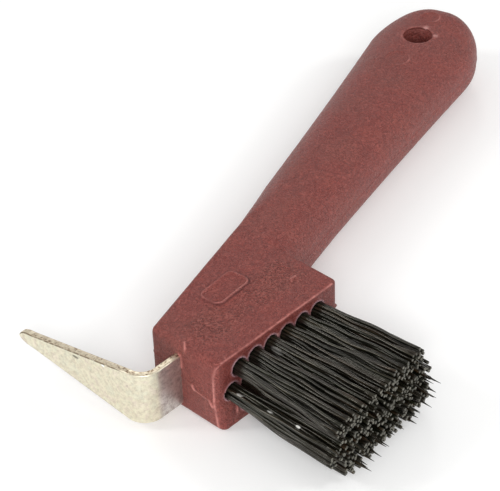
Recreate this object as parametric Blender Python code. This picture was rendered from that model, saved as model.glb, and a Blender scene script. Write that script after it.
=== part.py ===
"""Hoof pick with a stiff brush: a moulded plastic handle, a bent steel pick blade set into its head,
and a staple-set brush of nineteen tufts.

Frame, in metres: the tool lies on one flat side of its head, with +Z through its thickness.
+X runs from the blade end towards the free end of the handle, the brush points to -Y and the tip of the
blade to +Y.  The shapes are drawn from the head's own corner, where the brush face meets the blade face
at the underside, and the datum empty then puts the middle of the whole tool's box at X = Y = 0.
"""
import math

import bmesh
import bpy
from mathutils import Matrix, Vector

MM = 0.001
FIT_GAP = 0.3                 # clearance between a piece and the pocket that holds it
OVERRUN = 2.0                 # how far a cutter runs past the face that it opens
SHARP_DEGREES = 35            # edges sharper than this are shaded as edges

# Head block.
HEAD_LENGTH = 42.0            # brush face, from the blade face to the shoulder
HEAD_THICKNESS = 20.2
BLADE_FACE_WIDTH = 21.2
HEAD_BACK_SLOPE = 0.285       # the back wall runs outwards by this much per unit of length
HEAD_EDGE_RADIUS = 1.0
HEAD_EDGE_STEPS = 4
MID_HEIGHT = HEAD_THICKNESS / 2

# Handle: an oval bar along a straight axis, canted away from the brush.
AXIS_POINT = (36.4, 25.4)     # a point on the handle's axis, near the shoulder
AXIS_CANT = math.radians(15.95)
GRIP_LENGTH = 108.3           # from the axis point to the start of the rounded end
END_LENGTH = 20.6             # rounded end
END_POWER = 2.08              # superellipse power of the rounded end's outline
GRIP_HALF_WIDTH = (9.65, 3.4, 2.5)     # half width = a + b t + c t^2 along the grip
GRIP_THICKNESS = (18.8, 19.8)          # at the neck, at the free end
OVAL_SHARE = 0.85             # share of each half size that is taken up by the oval corners
NECK_LENGTH = 28.0            # the section turns from the head's box to the oval over this length
TURN_LENGTH = 12.0            # the sections turn square to the handle's axis over this length
SKIN = 0.05                   # the neck starts this far under the head's own surface
NECK_ROOTS = ((14.0, 4.0), (8.0, SKIN), (0.0, SKIN))     # behind the shoulder, and under the surface
NECK_SHARES = (0.08, 0.18, 0.3, 0.42, 0.56, 0.7, 0.85, 1.0)     # places of the neck's sections
GRIP_SECTIONS = 9
END_TURNS = (15, 28, 40, 50, 58, 65, 71, 76, 81, 85)     # degrees: the end's sections, closer at the tip
SHOULDER_CORNER = (7.5, 8.0)  # corner radii, across and up, where the neck leaves the shoulder
HANG_HOLE_RADIUS = 4.0
HANG_HOLE_STATION = 108.35    # along the axis from the axis point
HANG_HOLE_SIDE = 0.55         # off the axis, away from the brush
HANG_HOLE_SIDES = 32
CORNER_STEPS = 7              # facets on each corner of a handle section

# Pick blade: flat steel strip, with a tang inside the head.
STRIP_THICKNESS = 1.8
STRIP_HALF_WIDTH = 7.4
STRIP_Z = 9.6
STRIP_Y = 12.6                # middle of the strip, from the brush face
STRIP_EDGE = 0.3              # broken edges of the strip
TANG_LENGTH = 30.0
TANG_HOLE_RADIUS = 2.6
TANG_HOLES_X = (9.0, 21.0)
POST_RADIUS = TANG_HOLE_RADIUS - FIT_GAP
POST_LENGTH = 6.0             # the posts and their holes run past both sides of the pocket
ROOT_LENGTH = 6.9             # straight stretch between the head and the bend
BEND_RADIUS = 4.6             # of the strip's middle
BEND_ANGLE = math.radians(87)
ARM_LENGTH = 35.8
ARM_SHARES = (0.35, 0.7, 1.0)          # places of the arm's sections
TIP_HALF_WIDTH = 2.0
NOSE_LENGTH = 2 * TIP_HALF_WIDTH
NOSE_TURN = math.radians(80)           # the nose's outline stops just short of a point
BEND_STEPS = 10
NOSE_STEPS = 5

# Brush.
TUFT_PITCH = 5.4
ROW_SPACING = 5.6
ROWS = {"top": (6, 7.3, 1), "middle": (7, 4.6, 0), "bottom": (6, 9.0, -1)}     # tufts, first x, level
TUFT_HOLE_RADIUS = 2.35
TUFT_HOLE_DEPTH = 8.5
TUFT_ROOT_RADIUS = TUFT_HOLE_RADIUS - FIT_GAP
TUFT_FOLD = (0.7, 0.55)       # the folded end narrows over this length, to this share
TUFT_MOUTH = (2.5, 0.25)      # this far outside the head, this share of the way from root to tip shape
TUFT_WAIST = (0.35, 0.6)      # the same for this share of the length outside
TUFT_TRIM = (0.4, 0.94)       # the trimmed end narrows over this length, to this share
TUFT_LENGTH = (32.8, 30.8)    # trimmed length outside the head, at the blade end, at the shoulder end
TUFT_TIP_HALF = (2.5, 2.45)   # across the row, up
TUFT_SPREAD = (0.98, 1.20)    # the rows lean together or apart by this factor at the tips
TUFT_RISE = 0.5               # all the tips lean up by this much
TUFT_FAN = 1.06               # and apart along the row by this factor
TUFT_SIDES = 14
TUFT_TIP_POWER = 2.6
STAPLE_SIZE = (0.5, 1.6, 5.4)          # longer than the hole is wide, so that its ends grip the plastic
STAPLE_TURN = math.radians(45)         # set across the rows, clear of the neighbours' staples
STAPLE_Y = 6.4                # depth of the staple's middle below the brush face
HOLE_SIDES = 24

PLASTIC = ((0.255, 0.078, 0.067, 1.0), 0.48, 0.0)       # colour, roughness, metallic
STEEL = ((0.72, 0.70, 0.62, 1.0), 0.38, 0.9)
WIRE = ((0.62, 0.60, 0.55, 1.0), 0.35, 0.95)
BRISTLE = ((0.020, 0.019, 0.016, 1.0), 0.45, 0.0)


def clear_scene():
    for old in list(bpy.data.objects):
        bpy.data.objects.remove(old, do_unlink=True)


def make_material(name, finish):
    material = bpy.data.materials.new(name)
    material.use_nodes = True
    shader = material.node_tree.nodes["Principled BSDF"]
    shader.inputs["Base Color"].default_value = finish[0]
    shader.inputs["Roughness"].default_value = finish[1]
    shader.inputs["Metallic"].default_value = finish[2]
    return material


def make_object(name, shape, parent, finish=None):
    """Turn a bmesh drawn in millimetres into an object; one without a finish is a cutter."""
    bmesh.ops.scale(shape, vec=Vector((MM, MM, MM)), verts=shape.verts)
    bmesh.ops.recalc_face_normals(shape, faces=shape.faces)
    mesh = bpy.data.meshes.new(name)
    shape.to_mesh(mesh)
    shape.free()
    mesh.shade_smooth()
    mesh.set_sharp_from_angle(angle=math.radians(SHARP_DEGREES))
    piece = bpy.data.objects.new(name, mesh)
    piece.parent = parent
    bpy.context.scene.collection.objects.link(piece)
    if finish:
        mesh.materials.append(make_material(name, finish))
    else:
        piece.hide_render = True
        piece.display_type = "WIRE"
    return piece


def combine(piece, tool, operation):
    modifier = piece.modifiers.new(operation.lower(), "BOOLEAN")
    modifier.operation = operation
    modifier.solver = "EXACT"
    modifier.object = tool


def add_loft(shape, rings):
    """Skin equal rings of points in order, and close both ends."""
    loops = [[shape.verts.new(point) for point in ring] for ring in rings]
    count = len(loops[0])
    for here, there in zip(loops, loops[1:]):
        for i in range(count):
            j = (i + 1) % count
            shape.faces.new((here[i], here[j], there[j], there[i]))
    shape.faces.new(loops[0][::-1])
    shape.faces.new(loops[-1])


def add_box(shape, middle, size, turn=0.0):
    """A box of this size, turned about Y."""
    place = Matrix.Translation(middle) @ Matrix.Rotation(turn, 4, "Y") @ Matrix.Diagonal((*size, 1.0))
    bmesh.ops.create_cube(shape, size=1.0, matrix=place)


def add_rod(shape, middle, radius, length, axis, sides=HOLE_SIDES):
    turn = Vector((0, 0, 1)).rotation_difference(Vector(axis)).to_matrix().to_4x4()
    bmesh.ops.create_cone(shape, cap_ends=True, segments=sides, radius1=radius, radius2=radius,
                          depth=length, matrix=Matrix.Translation(middle) @ turn)


def smooth_step(value):
    value = min(max(value, 0.0), 1.0)
    return value * value * (3.0 - 2.0 * value)


def blend(start, end, share):
    return start + (end - start) * share


def back_wall(x):
    return BLADE_FACE_WIDTH + HEAD_BACK_SLOPE * x


def axis_y(x):
    return AXIS_POINT[1] + (x - AXIS_POINT[0]) * math.tan(AXIS_CANT)


def head_block():
    """The head: a prism over its outline, with every edge rounded."""
    shape = bmesh.new()
    outline = ((0, 0), (HEAD_LENGTH, 0), (HEAD_LENGTH, back_wall(HEAD_LENGTH)), (0, back_wall(0)))
    base = shape.faces.new([shape.verts.new((x, y, 0)) for x, y in outline])
    raised = bmesh.ops.extrude_face_region(shape, geom=[base])["geom"]
    top = [item for item in raised if isinstance(item, bmesh.types.BMVert)]
    bmesh.ops.translate(shape, vec=(0, 0, HEAD_THICKNESS), verts=top)
    bmesh.ops.recalc_face_normals(shape, faces=shape.faces)
    bmesh.ops.bevel(shape, geom=shape.edges[:], offset=HEAD_EDGE_RADIUS, segments=HEAD_EDGE_STEPS,
                    profile=0.5, affect="EDGES")
    return shape


def section(middle, turn, left, right, heights, left_corner, right_corner):
    """One closed section of the handle: a box with elliptical corners.

    middle is (x, y) on the axis, turn the section's heading, left and right its reach to each side,
    heights its lowest and highest point, and each corner (across, up).
    """
    low, high = heights
    corners = ((-right, low, right_corner, 180), (left, low, left_corner, 270),
               (left, high, left_corner, 0), (-right, high, right_corner, 90))
    points = []
    for side, level, (across, up), start in corners:
        inner = side - math.copysign(across, side)
        rise = level + up if level == low else level - up
        for step in range(CORNER_STEPS + 1):
            angle = math.radians(start + 90.0 * step / CORNER_STEPS)
            offset = inner + across * math.cos(angle)
            height = rise + up * math.sin(angle)
            points.append((middle[0] - offset * math.sin(turn), middle[1] + offset * math.cos(turn), height))
    return points


def grip_half_width(station):
    t = min(station / GRIP_LENGTH, 1.0)
    a, b, c = GRIP_HALF_WIDTH
    return a + b * t + c * t * t


def neck_sections():
    """Sections inside the head, up to the plane of the shoulder, square to X."""
    rings = []
    for depth, sink in NECK_ROOTS:
        x = HEAD_LENGTH - depth
        left = back_wall(x) - axis_y(x) - sink
        right = grip_half_width(0.0) / math.cos(AXIS_CANT)
        heights = (sink, HEAD_THICKNESS - sink)
        edge = HEAD_EDGE_RADIUS
        rings.append(section((x, axis_y(x)), 0.0, left, right, heights, (edge, edge), SHOULDER_CORNER))
    return rings


def grip_section(station):
    """A section of the free handle, station being its place along the axis."""
    start = (HEAD_LENGTH - AXIS_POINT[0]) / math.cos(AXIS_CANT)
    round_share = smooth_step((station - start) / NECK_LENGTH)
    turn = AXIS_CANT * smooth_step((station - start) / TURN_LENGTH)
    length = GRIP_LENGTH + END_LENGTH
    width = grip_half_width(station)
    thickness = blend(*GRIP_THICKNESS, station / length)
    if station > GRIP_LENGTH:
        width *= (1.0 - ((station - GRIP_LENGTH) / END_LENGTH) ** END_POWER) ** (1.0 / END_POWER)
    half = thickness / 2
    roll = OVAL_SHARE * half
    if station > length - roll:
        fall = (station - (length - roll)) / roll
        half = half - roll + roll * math.sqrt(max(1.0 - fall * fall, 0.0))
    boxy_left = back_wall(HEAD_LENGTH) - axis_y(HEAD_LENGTH) - SKIN
    left = blend(boxy_left, width, round_share)
    right = width / math.cos(AXIS_CANT - turn)
    heights = (blend(SKIN, MID_HEIGHT - half, round_share),
               blend(HEAD_THICKNESS - SKIN, MID_HEIGHT + half, round_share))
    oval = (OVAL_SHARE * width, OVAL_SHARE * half)
    left_corner = tuple(blend(HEAD_EDGE_RADIUS, size, round_share) for size in oval)
    right_corner = tuple(blend(a, b, round_share) for a, b in zip(SHOULDER_CORNER, oval))
    middle = (AXIS_POINT[0] + station * math.cos(AXIS_CANT), AXIS_POINT[1] + station * math.sin(AXIS_CANT))
    return section(middle, turn, left, right, heights, left_corner, right_corner)


def handle_bar():
    start = (HEAD_LENGTH - AXIS_POINT[0]) / math.cos(AXIS_CANT)
    neck = [start + NECK_LENGTH * share for share in NECK_SHARES]
    grip = [blend(neck[-1], GRIP_LENGTH, (step + 1) / GRIP_SECTIONS) for step in range(GRIP_SECTIONS)]
    end = [GRIP_LENGTH + END_LENGTH * math.sin(math.radians(turn)) for turn in END_TURNS]
    shape = bmesh.new()
    add_loft(shape, neck_sections() + [grip_section(station) for station in neck + grip + end])
    return shape


def tuft_places():
    """Name, x and z of every tuft's hole on the brush face."""
    for row, (count, first_x, level) in ROWS.items():
        for i in range(count):
            yield f"{row}_{i + 1}", first_x + i * TUFT_PITCH, MID_HEIGHT + level * ROW_SPACING


def tuft_hole_tool():
    shape = bmesh.new()
    for _, x, z in tuft_places():
        add_rod(shape, (x, 0, z), TUFT_HOLE_RADIUS, 2 * TUFT_HOLE_DEPTH, (0, 1, 0))
    return shape


def staple_tool(gap):
    """A box over every staple, larger than the staple by gap on each side."""
    shape = bmesh.new()
    for _, x, z in tuft_places():
        add_box(shape, (x, STAPLE_Y, z), [size + 2 * gap for size in STAPLE_SIZE], STAPLE_TURN)
    return shape


def hang_hole_tool():
    shape = bmesh.new()
    x = AXIS_POINT[0] + HANG_HOLE_STATION * math.cos(AXIS_CANT) - HANG_HOLE_SIDE * math.sin(AXIS_CANT)
    y = AXIS_POINT[1] + HANG_HOLE_STATION * math.sin(AXIS_CANT) + HANG_HOLE_SIDE * math.cos(AXIS_CANT)
    add_rod(shape, (x, y, MID_HEIGHT), HANG_HOLE_RADIUS, 2 * HEAD_THICKNESS, (0, 0, 1), HANG_HOLE_SIDES)
    return shape


def tang_pocket_tool():
    """The room for the tang, open at the blade face."""
    shape = bmesh.new()
    length = TANG_LENGTH + FIT_GAP + OVERRUN
    size = (length, STRIP_THICKNESS + 2 * FIT_GAP, 2 * (STRIP_HALF_WIDTH + FIT_GAP))
    add_box(shape, (length / 2 - OVERRUN, STRIP_Y, STRIP_Z), size)
    return shape


def tang_rods(radius):
    shape = bmesh.new()
    for x in TANG_HOLES_X:
        add_rod(shape, (x, STRIP_Y, STRIP_Z), radius, POST_LENGTH, (0, 1, 0))
    return shape


def strip_section(middle, along, half_width):
    """A section of the steel strip: a thin upright box with broken edges."""
    across = Vector((-along.y, along.x, 0))
    half = STRIP_THICKNESS / 2
    edge = min(STRIP_EDGE, half_width / 2)
    corners = ((half - edge, -half_width), (half, -half_width + edge), (half, half_width - edge),
               (half - edge, half_width), (-half + edge, half_width), (-half, half_width - edge),
               (-half, -half_width + edge), (-half + edge, -half_width))
    return [middle + across * side + Vector((0, 0, height)) for side, height in corners]


def blade_strip():
    """Tang, straight root, bend towards +Y and tapering arm, as one bent strip."""
    heading = Vector((-1, 0, 0))
    rings = [strip_section(Vector((x, STRIP_Y, STRIP_Z)), heading, STRIP_HALF_WIDTH)
             for x in (TANG_LENGTH, 0.0, -ROOT_LENGTH)]
    centre = Vector((-ROOT_LENGTH, STRIP_Y + BEND_RADIUS, STRIP_Z))
    for step in range(1, BEND_STEPS + 1):
        angle = BEND_ANGLE * step / BEND_STEPS
        middle = centre + BEND_RADIUS * Vector((-math.sin(angle), -math.cos(angle), 0))
        heading = Vector((-math.cos(angle), math.sin(angle), 0))
        rings.append(strip_section(middle, heading, STRIP_HALF_WIDTH))
    arm_start = middle
    taper = ARM_LENGTH - NOSE_LENGTH
    for share in ARM_SHARES:
        half_width = blend(STRIP_HALF_WIDTH, TIP_HALF_WIDTH, share)
        rings.append(strip_section(arm_start + heading * taper * share, heading, half_width))
    for step in range(1, NOSE_STEPS + 1):
        angle = NOSE_TURN * step / NOSE_STEPS
        reach = taper + NOSE_LENGTH * math.sin(angle)
        rings.append(strip_section(arm_start + heading * reach, heading, TIP_HALF_WIDTH * math.cos(angle)))
    shape = bmesh.new()
    add_loft(shape, rings)
    return shape


def tuft_body(x, z):
    """One tuft: a round folded root in its hole, opening to a full tip that the trim leaves flat."""
    along = x / HEAD_LENGTH
    length = blend(*TUFT_LENGTH, along)
    tip_x = HEAD_LENGTH / 2 + (x - HEAD_LENGTH / 2) * TUFT_FAN
    tip_z = MID_HEIGHT + (z - MID_HEIGHT) * blend(*TUFT_SPREAD, along) + TUFT_RISE
    root = TUFT_HOLE_DEPTH - FIT_GAP
    stations = ((root, TUFT_FOLD[1], 0.0), (root - TUFT_FOLD[0], 1.0, 0.0), (0.0, 1.0, 0.0),
                (-TUFT_MOUTH[0], 1.0, TUFT_MOUTH[1]), (-TUFT_WAIST[0] * length, 1.0, TUFT_WAIST[1]),
                (TUFT_TRIM[0] - length, 1.0, 1.0), (-length, TUFT_TRIM[1], 1.0))
    rings = []
    for y, scale, share in stations:
        power = blend(2.0, TUFT_TIP_POWER, share)
        half_x, half_z = (scale * blend(TUFT_ROOT_RADIUS, half, share) for half in TUFT_TIP_HALF)
        ring = []
        for i in range(TUFT_SIDES):
            angle = 2 * math.pi * (i + 0.5) / TUFT_SIDES
            c, s = math.cos(angle), math.sin(angle)
            across = math.copysign(abs(c) ** (2 / power), c) * half_x
            up = math.copysign(abs(s) ** (2 / power), s) * half_z
            ring.append((blend(x, tip_x, share) + across, y, blend(z, tip_z, share) + up))
        rings.append(ring)
    shape = bmesh.new()
    add_loft(shape, rings)
    return shape


def staple_body(x, z):
    shape = bmesh.new()
    add_box(shape, (x, STAPLE_Y, z), STAPLE_SIZE, STAPLE_TURN)
    return shape


def build_handle(datum):
    bar = make_object("handle_bar_tool", handle_bar(), datum)
    pocket = make_object("tang_pocket_tool", tang_pocket_tool(), datum)
    combine(pocket, make_object("post_tool", tang_rods(POST_RADIUS), datum), "DIFFERENCE")
    handle = make_object("handle_body", head_block(), datum, PLASTIC)
    combine(handle, bar, "UNION")
    combine(handle, make_object("hang_hole_tool", hang_hole_tool(), datum), "DIFFERENCE")
    combine(handle, pocket, "DIFFERENCE")
    combine(handle, make_object("tuft_hole_tool", tuft_hole_tool(), datum), "DIFFERENCE")
    combine(handle, make_object("staple_pocket_tool", staple_tool(FIT_GAP), datum), "DIFFERENCE")


def build_blade(datum):
    blade = make_object("pick_blade", blade_strip(), datum, STEEL)
    combine(blade, make_object("tang_hole_tool", tang_rods(TANG_HOLE_RADIUS), datum), "DIFFERENCE")


def build_brush(datum):
    slots = make_object("tuft_slot_tool", staple_tool(FIT_GAP), datum)
    for place, x, z in tuft_places():
        tuft = make_object(f"bristle_tuft_{place}", tuft_body(x, z), datum, BRISTLE)
        combine(tuft, slots, "DIFFERENCE")
        make_object(f"anchor_staple_{place}", staple_body(x, z), datum, WIRE)


def centre_on_box(datum):
    """Move the datum so that the middle of the tool's box is over the origin."""
    bpy.context.view_layer.update()
    graph = bpy.context.evaluated_depsgraph_get()
    corners = []
    for piece in bpy.context.scene.objects:
        if piece.type == "MESH" and not piece.hide_render:
            ready = piece.evaluated_get(graph)
            corners += [ready.matrix_world @ vertex.co for vertex in ready.data.vertices]
    for axis in (0, 1):
        reach = [corner[axis] for corner in corners]
        datum.location[axis] = -(min(reach) + max(reach)) / 2


def main():
    clear_scene()
    datum = bpy.data.objects.new("tool_datum", None)
    bpy.context.scene.collection.objects.link(datum)
    build_handle(datum)
    build_blade(datum)
    build_brush(datum)
    centre_on_box(datum)


main()
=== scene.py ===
"""Looks of the hoof pick with brush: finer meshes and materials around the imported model.

Shapes are drawn in millimetres from the head's corner, where the brush face meets the blade face at the
underside: X along the brush face towards the handle, Y away from the brush, Z up through the head.
"""
import math
import random

import bmesh
import bpy
import numpy as np
from mathutils import Matrix, Vector, noise


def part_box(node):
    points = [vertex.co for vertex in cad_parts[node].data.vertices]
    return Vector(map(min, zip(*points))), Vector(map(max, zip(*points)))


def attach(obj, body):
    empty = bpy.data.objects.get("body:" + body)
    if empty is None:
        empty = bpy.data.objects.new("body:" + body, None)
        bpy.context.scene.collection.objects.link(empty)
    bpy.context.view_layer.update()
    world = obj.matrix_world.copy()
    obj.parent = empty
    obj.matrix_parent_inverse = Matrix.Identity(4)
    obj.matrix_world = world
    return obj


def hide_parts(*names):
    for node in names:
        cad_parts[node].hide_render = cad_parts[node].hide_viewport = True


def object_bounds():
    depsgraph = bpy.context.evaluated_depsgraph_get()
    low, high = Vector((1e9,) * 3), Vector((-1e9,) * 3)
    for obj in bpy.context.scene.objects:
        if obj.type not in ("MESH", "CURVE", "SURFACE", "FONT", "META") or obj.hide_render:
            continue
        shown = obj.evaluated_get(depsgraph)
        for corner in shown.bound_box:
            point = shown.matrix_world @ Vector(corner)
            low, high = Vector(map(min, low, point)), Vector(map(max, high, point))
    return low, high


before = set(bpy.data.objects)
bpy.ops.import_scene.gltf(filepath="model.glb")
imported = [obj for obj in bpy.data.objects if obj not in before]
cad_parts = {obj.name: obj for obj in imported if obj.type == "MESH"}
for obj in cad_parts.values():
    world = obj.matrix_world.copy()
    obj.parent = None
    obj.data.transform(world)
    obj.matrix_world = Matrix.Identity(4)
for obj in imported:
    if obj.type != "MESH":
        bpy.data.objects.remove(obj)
CAD_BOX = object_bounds()

MM = 0.001
CORNER, HANDLE_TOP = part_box("handle_body")
SEED = 7

# Head and handle, as in the CAD model.
HEAD_THICKNESS = (HANDLE_TOP.z - CORNER.z) / MM
MID_HEIGHT = HEAD_THICKNESS / 2
HEAD_LENGTH = 42.0
BLADE_FACE_WIDTH = 21.2
HEAD_BACK_SLOPE = 0.285
HEAD_EDGE_RADIUS = 1.0
CRISP_RADIUS = 0.7            # upper and lower edge of the brush face
SOFT_RADIUS = 1.8             # upper and lower edge of the blade face
UPRIGHT_RADIUS = 2.2          # upright edge between brush face and blade face
SHOULDER_RADIUS = 1.7         # upright edge between brush face and shoulder
AXIS_POINT = (36.4, 25.4)
AXIS_CANT = math.radians(15.95)
GRIP_LENGTH = 108.3
END_LENGTH = 20.6
END_POWER = 2.08
GRIP_HALF_WIDTH = (9.65, 3.4, 2.5)     # at the head, and its linear and square growth
GRIP_THICKNESS = (18.8, 19.8)
OVAL_SHARE = 0.85
NECK_LENGTH = 28.0
TURN_LENGTH = 12.0
SKIN = 0.05
NECK_ROOTS = ((14.0, 4.0), (8.0, SKIN), (0.0, SKIN))
SHOULDER_CORNER = (7.5, 8.0)
GRIP_START = (HEAD_LENGTH - AXIS_POINT[0]) / math.cos(AXIS_CANT)     # where the axis leaves the head
NECK_STEPS = 24
GRIP_STEPS = 30
END_ANGLE = math.radians(85)  # the end's sections stop just short of its last point
HANG_HOLE_RADIUS = 4.0
HANG_HOLE_STATION = 108.35
HANG_HOLE_SIDE = 0.55
CORNER_STEPS = 18
ON_WALL = 0.1                 # an unrounded corner this close to a wall's plane belongs to it

# Pick blade, as in the CAD model.
STRIP_THICKNESS = 1.8
STRIP_HALF_WIDTH = 7.4
STRIP_Z = 9.6
STRIP_Y = 12.6
STRIP_EDGE_RADIUS = 0.42
STRIP_EDGE_STEPS = 4
STRIP_CORNERS = ((1, -1, 270), (1, 1, 0), (-1, 1, 90), (-1, -1, 180))     # side, level, first angle
TANG_LENGTH = 30.0
ROOT_LENGTH = 6.9
BEND_RADIUS = 4.6
BEND_ANGLE = math.radians(87)
ARM_LENGTH = 35.8
TIP_HALF_WIDTH = 2.0
NOSE_LENGTH = 2 * TIP_HALF_WIDTH
NOSE_ANGLE = math.radians(84)
TANG_RINGS = 40
BEND_STEPS = 36
TAPER_STEPS = 40
NOSE_STEPS = 14
ARM_FADE = 3.0                # length over which the bend's surface changes to the arm's
ROOT_FADE = 1.5               # length over which it changes to the root's
FIT_GAP = 0.3

# Brush, as in the CAD model.
TUFT_PITCH = 5.4
ROW_SPACING = 5.6
ROWS = {"top": (6, 7.3, 1), "middle": (7, 4.6, 0), "bottom": (6, 9.0, -1)}
TUFT_HOLE_RADIUS = 2.35
TUFT_HOLE_SIDES = 32
TUFT_HOLE_DEPTH = 8.5
TUFT_LENGTH = (33.2, 29.6)    # at the blade's end of the brush, at the shoulder's end
TUFT_TIP_HALF = (2.35, 2.3)
TUFT_SPREAD = (0.95, 1.06)
TUFT_RISE = 0.5
TUFT_FAN = 1.05
TRIM_TILT = 0.45              # the lower rows reach farther out than the upper ones

# Fine shape of the moulding.
VOXEL = 0.24
HANDLE_TRIANGLES = 190000
OUTLINE_MIDDLE = (22.0, 18.4)
OUTLINE_TURN = math.radians(4)
OUTLINE_HALF = (5.9, 3.1)
OUTLINE_CORNER = 1.7
OUTLINE_FAINT = 0.4           # how much its far side stands out, beside 1 for its near side
OUTLINE_SOFTNESS = 0.4
DASH_PLACE = (35.4, 8.6)
DASH_TURN = math.radians(-8)
DASH_HALF_LENGTH = 0.8
DASH_WIDTH = 0.30
RIDGE_HEIGHT = 0.48
RIDGE_WIDTH = 0.24
PARTING_HEIGHT = 0.17
PARTING_WIDTH = 0.28
PARTING_CLIMB = (8.1, 0.235)  # on the blade face: height at the brush face, rise towards the back
FLASH_HEIGHT = 0.30
FLASH_STROKES = (((8.2, 9.9), (7.6, 9.0), 1.2, 0.40), ((7.6, 9.0), (2.8, 8.5), 0.9, 0.26),
                 ((2.8, 8.5), (2.0, 7.0), 1.2, 0.38), ((11.4, 13.6), (11.4, 16.9), 1.0, 0.26),
                 ((11.4, 16.9), (12.2, 17.5), 1.2, 0.28))     # start, end, share of the height, width
EDGE_BURR = ((1.6, 11.6), (0.3, 10.4))
EDGE_BURR_WIDTH = 0.25
EDGE_BURR_RISE = 0.25
FRONT_BURR = ((5.6, 4.0), (0.35, 1.1))     # place on the brush face, half size
FRONT_BURR_RISE = 0.35
# The burr's painted shade lies this far beside it.
BURR_SHADE_SHIFT = 0.8        # its dark side lies this far beside it
NIB_PLACE = (HEAD_LENGTH, 0.8, 11.9)
NIB_SIZE = (1.2, 0.5)
NIB_HEIGHT = 0.7
HOLE_FLARE = 0.45             # rounding of the hanging hole's rim
RIM_HEIGHT = 0.24             # the lip round each tuft hole
RIM_WIDTH = 0.24
# Along the crisp edges runs a pale line, a painted highlight, which is also raised a little; its path
# round the front corner follows.
BRIGHT_EDGE = 0.20            # half width of the pale line along the crisp edges
BRIGHT_EDGE_RISE = 0.10
CORNER_CLIMB = 4.2            # height over which the upright line bends towards the upper one
CORNER_ANGLE = 21             # where it runs round the upright edge, in degrees from the blade face
CORNER_TURNS = ((34, 1.5), (25, 8))     # and how it bends: degrees, power of the climb
PEEL_HEIGHT = 0.035           # slow unevenness of the moulded skin
PEEL_RATE = 0.42              # noise cells per millimetre
PARTING_RATE = 0.3            # the same, for the changing height of the parting line
STIPPLE_PATCHES = (((10.0, 11.3), (4.8, 3.8)), ((17.2, 9.6), (2.8, 1.6)), ((30.5, 11.4), (7.4, 3.8)))
STIPPLE_DENSITY = 5.0         # bumps per square millimetre
STIPPLE_SIZE = (0.22, 0.30)
STIPPLE_RISE = (0.04, 0.08)
STIPPLE_REACH = 1.0           # beyond this a bump has died away
STIPPLE_FADE = 1.5
LEAN_HEIGHT = 8.0             # below this the head's front corner leans out of square
LEAN = (0.1, -1.05)
LEAN_REACH = 7.0
EJECTOR_MARKS = ((95.0, 1.1, 3.5), (118.6, 0.9, 2.6))     # station, side, radius
MARK_DEPTH = 0.14
MARK_SOFTNESS = 0.12
MARK_RIM = (0.12, 0.3)        # height, width
# Painted highlight spots: two on the hanging hole's rim, and one on the brush face.
HOLE_SPOTS = ((112.8, -0.1, 0.60), (110.0, -4.2, 0.50))     # station, side, size
FACE_SPOT = ((20.4, 16.7), 0.40)     # place on the brush face, size
# Painted shade lines: across the shoulder's bend on the upper side, and beside the strip and the flash on
# the blade face.
SHOULDER_CREASE = ((42.8, 10.5), (42.4, 18.0), 0.35, 0.8)     # start, end, darkness, width
BLADE_FACE_CREASES = (((11.3, 2.5), (11.3, 11.5), 0.8, 0.3), ((7.3, 9.9), (7.0, 9.2), 0.8, 0.3))
TOP_DEPTH = 0.6               # the upper side's surface, down to where its edges are rounded
LARGEST_EXPONENT = 60.0       # beyond it nothing is left of a mark
MOUTH_DEPTH = 0.9             # the plastic closes on the strip down to this depth

# Filaments.
FILAMENTS = 26
FILAMENT_RADIUS = 0.43
FILAMENT_SIDES = 8
FILAMENT_STEPS = 26
WAVE_LENGTH = 14.0
WAVE_HEIGHT = 0.16
WAVE_RANGE = (0.5, 1.3)
PHASE_SPREAD = 0.7
SWING_SPREAD = 0.6
OPEN_RATE = 1.6               # a tuft reaches its full width before its end
SQUARE_SHARE = 0.9            # a tuft's end is nearly square
SPOT_TURN = 0.15
ROOT_DEPTH = 7.6              # where a filament starts in its hole
END_TRIM = 0.2
LENGTH_SPREAD = 0.18
THICKNESS_RANGE = (0.9, 1.08)
POINT_RANGE = (0.7, 1.3)
WANDER = 0.4
STRAY_WANDER = 1.2
STRAY_SHARE = 0.10
STRAND_SPREAD = 90.0          # range of the places where the filaments' colours are read
STREAK_SHARE = 0.05           # how much the streaks are stretched along a filament
POINTED_SHARE = 0.14
CUT_END = ((0.05, 0.88),)     # beyond the last full ring: distance, share of the radius
POINTED_END = ((0.5, 0.55), (2.8, 0.08))
# Painted highlight glints on the filaments.
BRISTLE_GLINTS = (((3.4, -3.8, 11.8), 1.1, 0.55), ((3.5, -13.2, 12.6), 1.1, 0.80),
          ((3.6, -21.5, 13.1), 0.9, 1.0), ((11.8, -29.8, 19.1), 0.7, 0.80),
          ((16.4, -3.6, 16.5), 2.2, 0.15))     # middle, half length, share
BRISTLE_GLINT_HALF = (0.45, 1.0)      # across a filament, and upwards

# Small spots on the blade, a dark nick and a painted white glint: middle, half size.
NICK = ((-13.3, 33.5, 12.9), (2.0, 1.1, 0.44))
GLINT = ((-12.8, 24.4, 15.1), (2.0, 0.6, 0.30))


def place(point):
    """From millimetres at the head's corner to the row frame."""
    return CORNER + Vector(point) * MM


def smooth_step(value):
    value = min(max(value, 0.0), 1.0)
    return value * value * (3.0 - 2.0 * value)


def mix(start, end, share):
    return start + (end - start) * share


def raw_object(name, shape):
    """An object that stays in millimetres."""
    bmesh.ops.recalc_face_normals(shape, faces=shape.faces)
    mesh = bpy.data.meshes.new(name)
    shape.to_mesh(mesh)
    shape.free()
    piece = bpy.data.objects.new(name, mesh)
    bpy.context.scene.collection.objects.link(piece)
    return piece


def to_row_frame(mesh):
    mesh.transform(Matrix.Translation(CORNER) @ Matrix.Scale(MM, 4))


def new_object(name, shape):
    """An object in the row frame from a bmesh drawn in millimetres at the head's corner."""
    piece = raw_object(name, shape)
    to_row_frame(piece.data)
    return piece


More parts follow.
